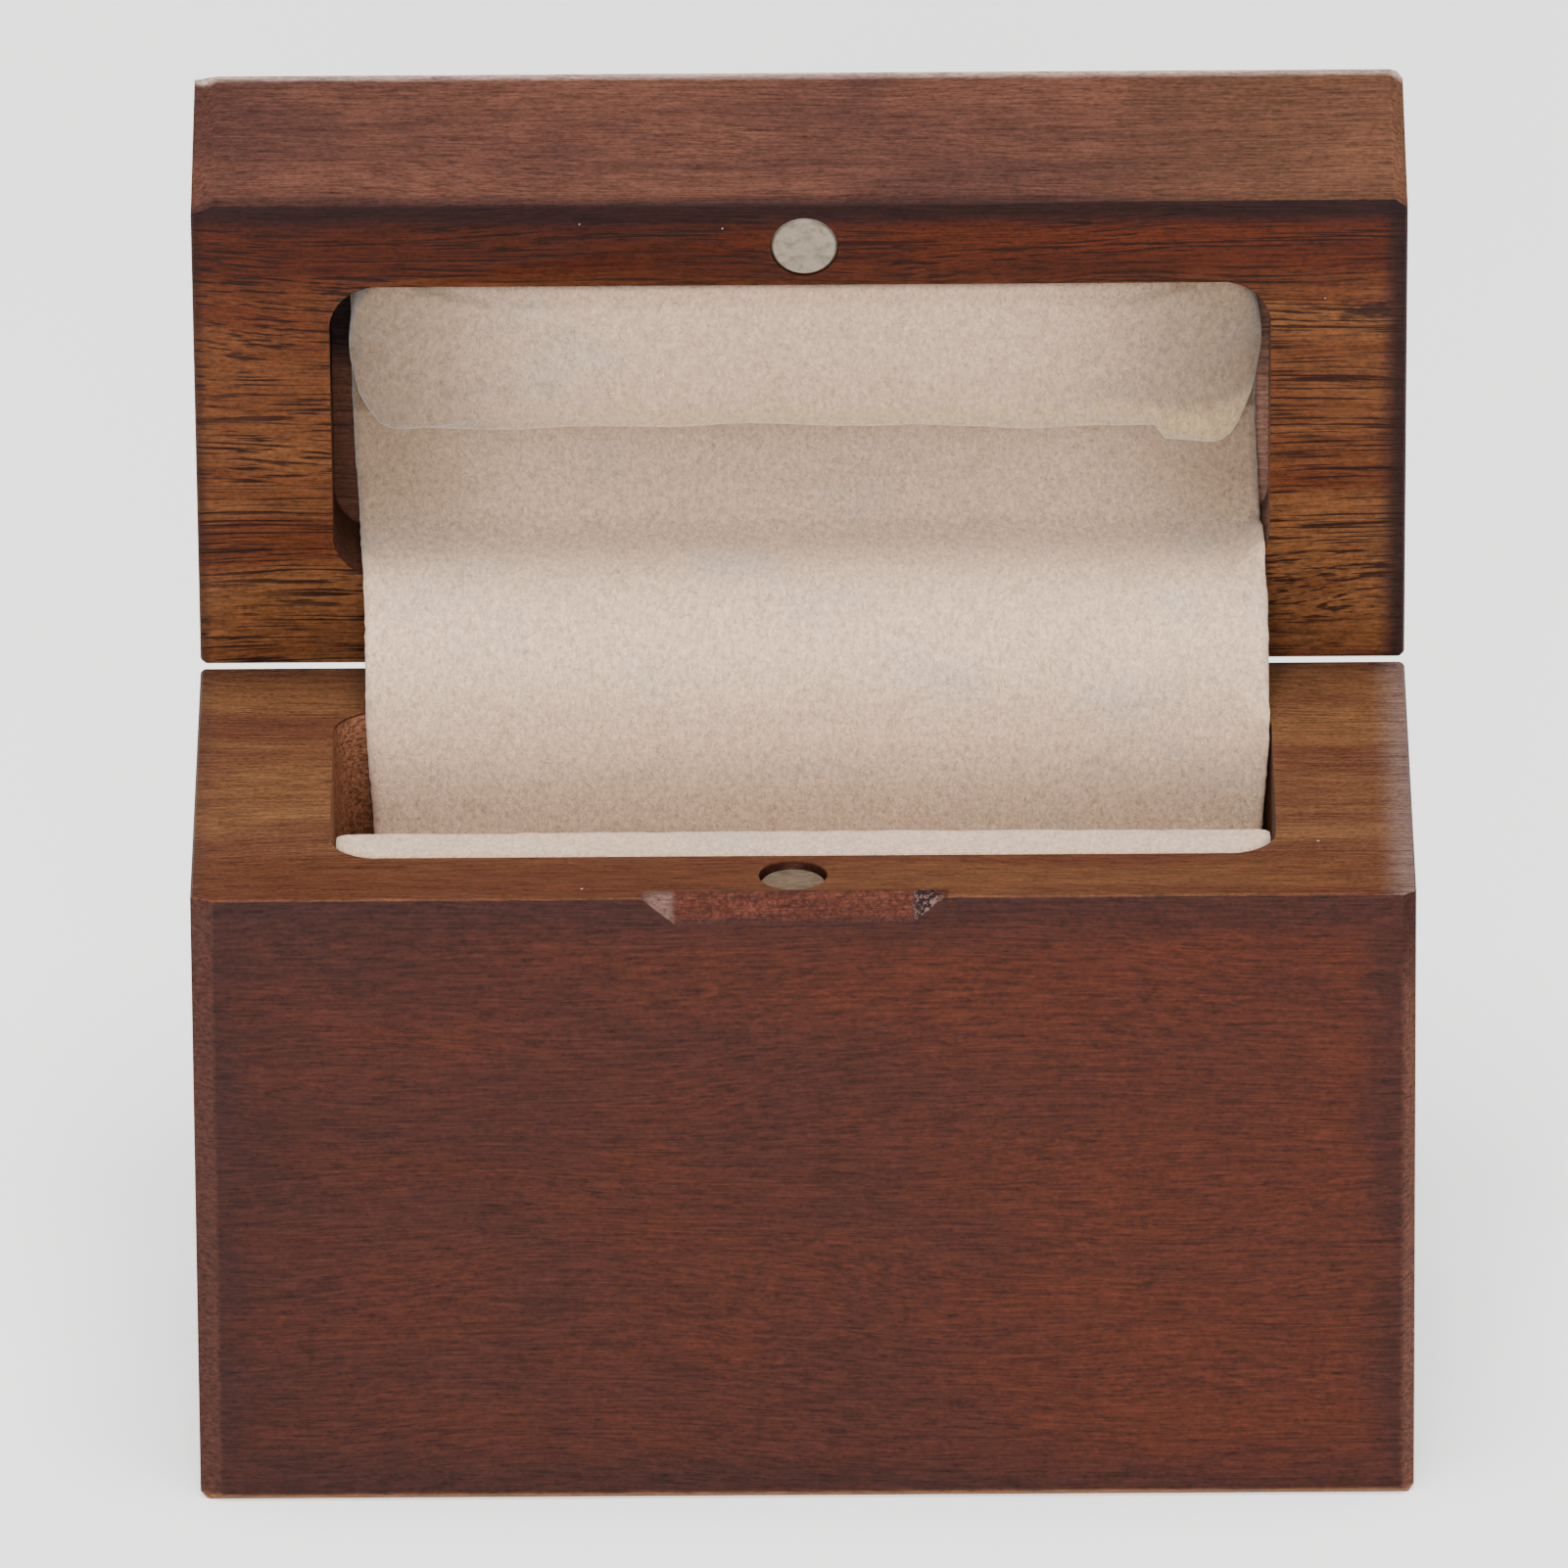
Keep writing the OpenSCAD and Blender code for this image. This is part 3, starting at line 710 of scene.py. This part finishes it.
def is_rounded(edge, low, high, rim):
    """Whether an edge of the block has been rubbed round."""
    middle = (edge.verts[0].co + edge.verts[1].co) / 2
    from_skin = min(min(middle[i] - low[i], high[i] - middle[i]) for i in range(3))
    if len(edge.link_faces) != 2 or from_skin >= SKIN:
        return False
    from_rim = abs(middle.z - rim)
    at_hinge = middle.y > high[1] - HINGE_DEPTH and HINGE_SPAN[0] < abs(middle.x) < HINGE_SPAN[1]
    if at_hinge and from_rim < 2.5 and edge.calc_length() < 12:
        return False
    for face in edge.link_faces:
        is_slanted = 0.3 < abs(face.normal.z) < 0.95
        if is_slanted and abs(face.calc_center_median().z - rim) < 0.2:
            return False
    from_bore = math.hypot(middle.x, middle.y - (low[1] + BORE_FROM_FRONT))
    at_bore = from_bore < 3 and from_rim < 4
    return edge.calc_face_angle(0) > math.radians(30) and not at_bore


def wooden(node, name, to_shut, material):
    """The CAD block with its outer edges and the rim of its pocket rounded over."""
    to_mm = Matrix.Scale(1 / MM, 4) @ to_shut
    bm = bmesh.new()
    bm.from_mesh(frame["nodes"][node].data)
    bmesh.ops.transform(bm, matrix=to_mm, verts=bm.verts)
    bmesh.ops.remove_doubles(bm, verts=bm.verts, dist=0.003)
    bmesh.ops.dissolve_limit(bm, angle_limit=math.radians(0.8), verts=bm.verts, edges=bm.edges)
    low = [min(v.co[i] for v in bm.verts) for i in range(3)]
    high = [max(v.co[i] for v in bm.verts) for i in range(3)]
    rim = high[2] if node == "base_block" else low[2]
    chosen = [edge for edge in bm.edges if is_rounded(edge, low, high, rim)]
    bmesh.ops.bevel(bm, geom=chosen, offset=EDGE_ROUND, segments=EDGE_STEPS, profile=0.5,
                    affect="EDGES", clamp_overlap=True)
    if node == "lid_block":
        for vertex in bm.verts:
            if vertex.co.x < low[0] + 0.3 and vertex.co.y < low[1] + 1:
                share = (vertex.co.z - low[2]) / (high[2] - low[2])
                vertex.co.y -= CHAMFER_FADE * share * (vertex.co.y - low[1]) / CHAMFER_DEPTH
    bmesh.ops.transform(bm, matrix=to_mm.inverted(), verts=bm.verts)
    mesh = bpy.data.meshes.new(name)
    bm.to_mesh(mesh)
    bm.free()
    mesh.shade_smooth()
    mesh.set_sharp_from_angle(angle=math.radians(40))
    piece = new_object(name, mesh, material)
    piece.modifiers.new("normals", "WEIGHTED_NORMAL").keep_sharp = True
    return piece


# ---------------------------------------------------------------- the lining strip

# In millimetres
CLOTH = 1.0  # thickness
SWEEP_R = 8.0  # bend from the rear wall onto the seat
NOSE_R = 3.0  # bend over the front of the seat, down into the slot
LID_TURN_R = 3.0  # bend from the rear wall of the lid's pocket onto its floor
SEAT_SLOPE = math.radians(55)
LINING_DROP = 6.0  # from the rim down to where the sweep starts
POCKET_R = 3.0  # radius of the pockets' corners
WALL_GAP = 0.35  # how far the strip's edge stays clear of such a corner
STRIP_STEP = 0.45  # spacing of the points along the strip
STRIP_ACROSS = 110  # and how many gaps there are across it


def arc(centre, radius, start, stop, steps):
    """Points (y, z) along an arc; angles in radians."""
    spots = [start + (stop - start) * i / steps for i in range(steps + 1)]
    return [(centre[0] + radius * math.cos(a), centre[1] + radius * math.sin(a)) for a in spots]


def strip_path():
    """(y, z) of the strip's middle in millimetres, from the ring slot up to the lid's front."""
    low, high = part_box("base_lining")
    wall_y = high.y / MM - CLOTH / 2
    slot_y = low.y / MM + CLOTH / 2
    sweep_at = (wall_y - SWEEP_R, rim_z / MM - LINING_DROP)
    sweep = arc(sweep_at, SWEEP_R, 0, -SEAT_SLOPE, 14)
    rise = (SWEEP_R + NOSE_R) * (1 - math.cos(SEAT_SLOPE))
    run = (wall_y - slot_y - rise) / math.sin(SEAT_SLOPE)
    seat_end = (sweep[-1][0] - run * math.sin(SEAT_SLOPE), sweep[-1][1] - run * math.cos(SEAT_SLOPE))
    nose_at = (slot_y + NOSE_R, seat_end[1] - NOSE_R * math.sin(SEAT_SLOPE))
    nose = arc(nose_at, NOSE_R, math.pi - SEAT_SLOPE, math.pi, 8)
    seat = sweep + nose + [(slot_y, low.z / MM)]
    axis = (hinge_at.y / MM, hinge_at.z / MM)
    bridge = arc(axis, axis[0] - wall_y, math.pi, math.pi - open_angle, 20)
    lid_box_low, lid_box_high = shut_box("lid_lining")
    floor_z = lid_box_high.z / MM - CLOTH / 2
    turn_at = (wall_y - LID_TURN_R, floor_z - LID_TURN_R)
    lid = arc(turn_at, LID_TURN_R, 0, math.pi / 2, 10) + [(lid_box_low.y / MM, floor_z)]
    opened = [opening @ Vector((0, y * MM, z * MM)) for y, z in lid]
    return seat[::-1] + bridge + [(p.y / MM, p.z / MM) for p in opened]


def resampled(path, step):
    """Points at an even step along a path, with the distance and direction at each."""
    lengths = [0.0]
    for a, b in zip(path, path[1:]):
        lengths.append(lengths[-1] + math.dist(a, b))
    count = round(lengths[-1] / step)
    rows = []
    for k in range(count + 1):
        s = lengths[-1] * k / count
        i = min(max(bisect.bisect(lengths, s) - 1, 0), len(path) - 2)
        while lengths[i + 1] - lengths[i] < 1e-6:
            i += 1
        t = (s - lengths[i]) / (lengths[i + 1] - lengths[i])
        rows.append((s, path[i][0] + t * (path[i + 1][0] - path[i][0]),
                     path[i][1] + t * (path[i + 1][1] - path[i][1])))
    return rows


def smoothed(rows, passes):
    """Rounds off the joins between the path's arcs and straights."""
    for _ in range(passes):
        inner = [(b[0], (a[1] + 2 * b[1] + c[1]) / 4, (a[2] + 2 * b[2] + c[2]) / 4)
                 for a, b, c in zip(rows, rows[1:], rows[2:])]
        rows = [rows[0]] + inner + [rows[-1]]
    return rows


def beside_wall(y, z):
    """How much of a point on the strip lies along the rear wall of its pocket, from 0 to 1."""
    wall_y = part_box("base_lining")[1].y / MM - CLOTH / 2
    shut = shutting @ (Vector((0, y, z)) * MM) / MM
    in_base = smooth(1 - (wall_y - y) / 0.8) * smooth((rim_z / MM + 1.5 - z) / 1.5)
    in_lid = smooth(1 - (wall_y - shut.y) / 0.8) * smooth((shut.z - lid_rim_z / MM + 1.5) / 1.5)
    return max(in_base, in_lid)


def corner_push(x):
    """How far the round corner of a pocket pushes the strip forward at x."""
    past = min(max(abs(x) - pocket_half_w / MM + POCKET_R, 0), POCKET_R)
    return POCKET_R - math.sqrt(POCKET_R ** 2 - past ** 2)


def strip_section(half):
    """Outline across the strip as (x, height, side), where side is 0 but on its cut edges."""
    steps = [-half + 2 * half * i / STRIP_ACROSS for i in range(STRIP_ACROSS + 1)]
    turns = [math.pi * i / 6 for i in range(1, 6)]
    rim = [(half + CLOTH / 2 * math.sin(a), CLOTH / 2 * math.cos(a)) for a in turns]
    front = [(x, CLOTH / 2, 0) for x in steps]
    back = [(x, -CLOTH / 2, 0) for x in reversed(steps)]
    return front + [(x, h, 1) for x, h in rim] + back + [(-x, -h, -1) for x, h in rim]


def strip_lean(share):
    """How far right of its middle the strip lies, at a share of its length from the slot."""
    return 0.39 - 0.70 * smooth((share - 0.55) / 0.3)


def make_strip(material):
    """One sheet of suede from the ring slot up over the hinges and into the lid."""
    rows = smoothed(resampled(strip_path(), STRIP_STEP), 4)
    low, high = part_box("bridge_lining")
    half = (high.x - low.x) / MM / 2 - CLOTH / 2
    middle = (high.x + low.x) / MM / 2
    total = rows[-1][0]
    section = strip_section(half)
    points, cloth = [], []
    for k, (s, y, z) in enumerate(rows):
        ahead, behind = rows[min(k + 1, len(rows) - 1)], rows[max(k - 1, 0)]
        along = Vector((0, ahead[1] - behind[1], ahead[2] - behind[2])).normalized()
        out = Vector((1, 0, 0)).cross(along)
        pressed = beside_wall(y, z)
        for x, height, side in section:
            ragged = 0.07 * wobble(s, side * 9, 0.5, 3.1) + 0.04 * wobble(s, side * 9, 2.3, 5.2)
            swell = 0.10 * wobble(x, s, 9, 1.7) + 0.03 * wobble(x, s, 2.0, 8.4)
            thick = height + (swell if height > 0 else 0)
            extra = 0.33 + 0.44 * smooth((s / total - 0.35) / 0.15) + ragged
            across = middle + strip_lean(s / total) + x * (1 + extra / half)
            push = pressed * max(corner_push(across) - WALL_GAP, 0)
            spot = Vector((across, y, z)) + out * (thick + push)
            points.append(spot * MM)
            cloth.append((x, s, height))
    n = len(section)
    faces = [(r * n + i, r * n + (i + 1) % n, (r + 1) * n + (i + 1) % n, (r + 1) * n + i)
             for r in range(len(rows) - 1) for i in range(n)]
    last = (len(rows) - 1) * n
    faces += [tuple(reversed(range(n))), tuple(range(last, last + n))]
    mesh = mesh_from("lining_strip", points, faces)
    mark_cloth(mesh, cloth)
    strip = new_object("lining_strip", mesh, material)
    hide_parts("base_lining", "bridge_lining", "lid_lining")
    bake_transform(strip)


# ---------------------------------------------------------------- pads

SIM_SCALE = 10  # the cloth simulation is steadier on a larger body
SIM_FRAMES = 20


def remeshed(node, name, to_flat, voxel):
    """An even, slightly smoothed skin over a node, SIM_SCALE times its size."""
    source = frame["nodes"][node].data.copy()
    source.transform(Matrix.Scale(SIM_SCALE, 4) @ to_flat)
    body = bpy.data.objects.new(name + "_sim", source)
    bpy.context.scene.collection.objects.link(body)
    remesh = body.modifiers.new("remesh", "REMESH")
    remesh.mode, remesh.voxel_size = "VOXEL", voxel * MM * SIM_SCALE
    soften = body.modifiers.new("smooth", "SMOOTH")
    soften.factor, soften.iterations = 0.5, 3
    depsgraph = bpy.context.evaluated_depsgraph_get()
    mesh = bpy.data.meshes.new_from_object(body.evaluated_get(depsgraph))
    bpy.data.objects.remove(body)
    return mesh


def blown_up(mesh, name, pressure, cap, held):
    """Where the mesh's points go under pressure, none of them further than cap."""
    rest = [v.co.copy() for v in mesh.vertices]
    body = bpy.data.objects.new(name + "_cloth", mesh)
    bpy.context.scene.collection.objects.link(body)
    pins = body.vertex_groups.new(name="pins")
    pins.add([v.index for v in mesh.vertices if held(v.co / SIM_SCALE / MM)], 1.0, "REPLACE")
    cloth = body.modifiers.new("cloth", "CLOTH")
    cloth.settings.use_pressure = True
    cloth.settings.uniform_pressure_force = pressure
    cloth.settings.vertex_group_mass = "pins"
    cloth.settings.effector_weights.gravity = 0
    cloth.point_cache.frame_start, cloth.point_cache.frame_end = 1, SIM_FRAMES
    for step in range(1, SIM_FRAMES + 1):
        bpy.context.scene.frame_set(step)
    depsgraph = bpy.context.evaluated_depsgraph_get()
    blown = bpy.data.meshes.new_from_object(body.evaluated_get(depsgraph))
    far = cap * MM * SIM_SCALE
    final = []
    for start, vertex in zip(rest, blown.vertices):
        move = vertex.co - start
        final.append(start + (move * (far / move.length) if move.length > far else move))
    bpy.data.objects.remove(body)
    bpy.context.scene.frame_set(1)
    return final


def inflated(node, name, to_flat, voxel, pressure, cap, held):
    """The node's cover, remeshed and blown up a little by a cloth simulation.
    It comes back as points in millimetres, in the frame that to_flat leads to, and faces."""
    mesh = remeshed(node, name, to_flat, voxel)
    faces = [tuple(p.vertices) for p in mesh.polygons]
    points = blown_up(mesh, name, pressure, cap, held)
    return [p / SIM_SCALE / MM for p in points], faces


def fitted(points, low, high):
    """The points scaled and moved so that they span from low to high."""
    least = Vector([min(p[i] for p in points) for i in range(3)])
    most = Vector([max(p[i] for p in points) for i in range(3)])
    scale = [(high[i] - low[i]) / (most[i] - least[i]) for i in range(3)]
    return [Vector([low[i] + (p[i] - least[i]) * scale[i] for i in range(3)]) for p in points]


def make_front_pad(material):
    """Foam pad in suede at the front of the base, its top just under the rim."""
    low, high = pad_low / MM, pad_high / MM
    points, faces = inflated("front_pad_cover", "front_pad", Matrix.Identity(4), 0.42, 5.0, 0.4,
                             lambda p: p.z < low.z + 2)
    inset = Vector((0.04, 0.04, 0))
    shaped, cloth = [], []
    for p in fitted(points, low + inset, high - inset + Vector((0, 0.1, 0))):
        up = smooth((p.z - high.z + 1.0) / 0.6)
        p.z += up * (0.08 * math.cos(p.x / high.x * math.pi / 2) + 0.05 * wobble(p.x, p.y, 1.6, 2.2))
        p.y += 0.10 * wobble(p.x, p.z, 1.3, 7.7) * up * smooth((p.y - low.y) / 2)
        shaped.append(p * MM)
        cloth.append((p.x, p.y + p.z, p.z))
    mesh = mesh_from("front_pad", shaped, faces)
    mark_cloth(mesh, cloth)
    pad = new_object("front_pad", mesh, material)
    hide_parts("front_pad_cover", "front_pad_foam")
    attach(pad, "base")


def make_rear_cushion(material):
    """Soft block under the ring seat, cut by hand, with its corners rubbed round."""
    low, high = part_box("rear_cushion_foam")
    low, high = low / MM, high / MM
    points, faces = inflated("rear_cushion_foam", "rear_cushion", Matrix.Identity(4), 0.7, 3.0, 0.2,
                             lambda p: p.z < low.z + 2)
    shaped = []
    for p in fitted(points, low, high):
        p.x += 0.12 * wobble(p.y, p.z, 2.5, 1.1 if p.x > 0 else 9.1)
        shaped.append(p * MM)
    cushion = new_object("rear_cushion", mesh_from("rear_cushion", shaped, faces), material)
    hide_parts("rear_cushion_foam")
    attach(cushion, "base")


LOBE_AT = 21.3  # x in mm where the lower edge of the lid's pad steps down


def lower_edge(x):
    """How far the lower edge of the lid's pad hangs past its straight cut, at x in mm."""
    wave = 0.22 * math.cos((x + 26) / 7.5) + 0.08 * math.sin(x / 1.7) + PAD_HANG
    return wave + 1.1 * smooth((x - LOBE_AT) / 0.7)


def make_lid_pad(material):
    """Foam pad in suede in the front half of the lid, with a loosely cut lower edge."""
    low, high = shut_box("lid_pad_cover")
    low, high = low / MM, high / MM
    middle, half = (low.x + high.x) / 2, (high.x - low.x) / 2
    points, faces = inflated("lid_pad_cover", "lid_pad", shutting, 0.32, 5.0, 0.4,
                             lambda p: p.z > high.z - 0.6)
    shaped, cloth = [], []
    for p in fitted(points, low, high):
        flat = p.copy()
        share = (p.y - low.y) / (high.y - low.y)
        inner = smooth((half - abs(p.x - middle)) / 2)
        p.y += lower_edge(p.x) * smooth((share - 0.55) / 0.45) * inner
        front = smooth((high.z - 1 - p.z) / 1.5)
        end = abs((p.x - middle) / half)
        crown = 0.15 - 1.0 * end ** 4 - 0.5 * smooth((share - 0.6) / 0.4)
        dent = 0.10 * wobble(p.x, p.y, 3.0, 4.4) + 0.05 * wobble(p.x, p.y, 0.9, 6.1)
        p.z -= front * (crown + dent)
        shaped.append(opening @ (p * MM))
        cloth.append((flat.x, flat.y - low.y, flat.z))
    mesh = mesh_from("lid_pad", shaped, faces)
    mark_cloth(mesh, cloth)
    pad = new_object("lid_pad", mesh, material)
    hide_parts("lid_pad_cover", "lid_pad_foam")
    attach(pad, "lid")


# ---------------------------------------------------------------- everything together

FLOOR_SIZE = 6.0  # metres

# Light and dark tones of the two magnets
BRIGHT = linear(140, 128, 114), linear(113, 102, 90)
DUSTY = linear(108, 90, 72), linear(81, 65, 51)


def make_floor():
    half = FLOOR_SIZE / 2
    corners = [(-half, -half, 0), (half, -half, 0), (half, half, 0), (-half, half, 0)]
    mesh = mesh_from("floor", corners, [(0, 1, 2, 3)], is_smooth=False)
    new_object("floor", mesh, floor_material())


def make_wood(body, to_shut):
    """The walnut block of one body, base or lid."""
    material = walnut(body + "_walnut", body == "lid")
    wood = wooden(body + "_block", body + "_wood", to_shut, material)
    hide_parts(body + "_block")
    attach(wood, body)


def finish_metal():
    """Gives the CAD nodes that stay, the magnets and the hinges, their materials."""
    hinge_brass, hinge_steel = brass("hinge_brass"), steel("hinge_steel")
    looks = {
        "lid_magnet": nickel("nickel", 0.3, BRIGHT),
        "base_magnet": nickel("dusty", 1.0, DUSTY),
    }
    for name in frame["nodes"]:
        if name.endswith("leaf"):
            looks[name] = hinge_brass
        elif name.endswith(("pin", "screws")):
            looks[name] = hinge_steel
    for name, material in looks.items():
        mesh = frame["nodes"][name].data
        mesh.materials.clear()
        mesh.materials.append(material)


make_camera()
make_studio()
make_floor()
finish_metal()
make_wood("base", Matrix.Identity(4))
make_wood("lid", shutting)
make_strip(suede("strip_suede", strip_painted_shade))
make_front_pad(suede("pad_suede"))
make_rear_cushion(foam("cushion_foam"))
make_lid_pad(suede("lid_pad_suede", lid_pad_stain_and_shade))
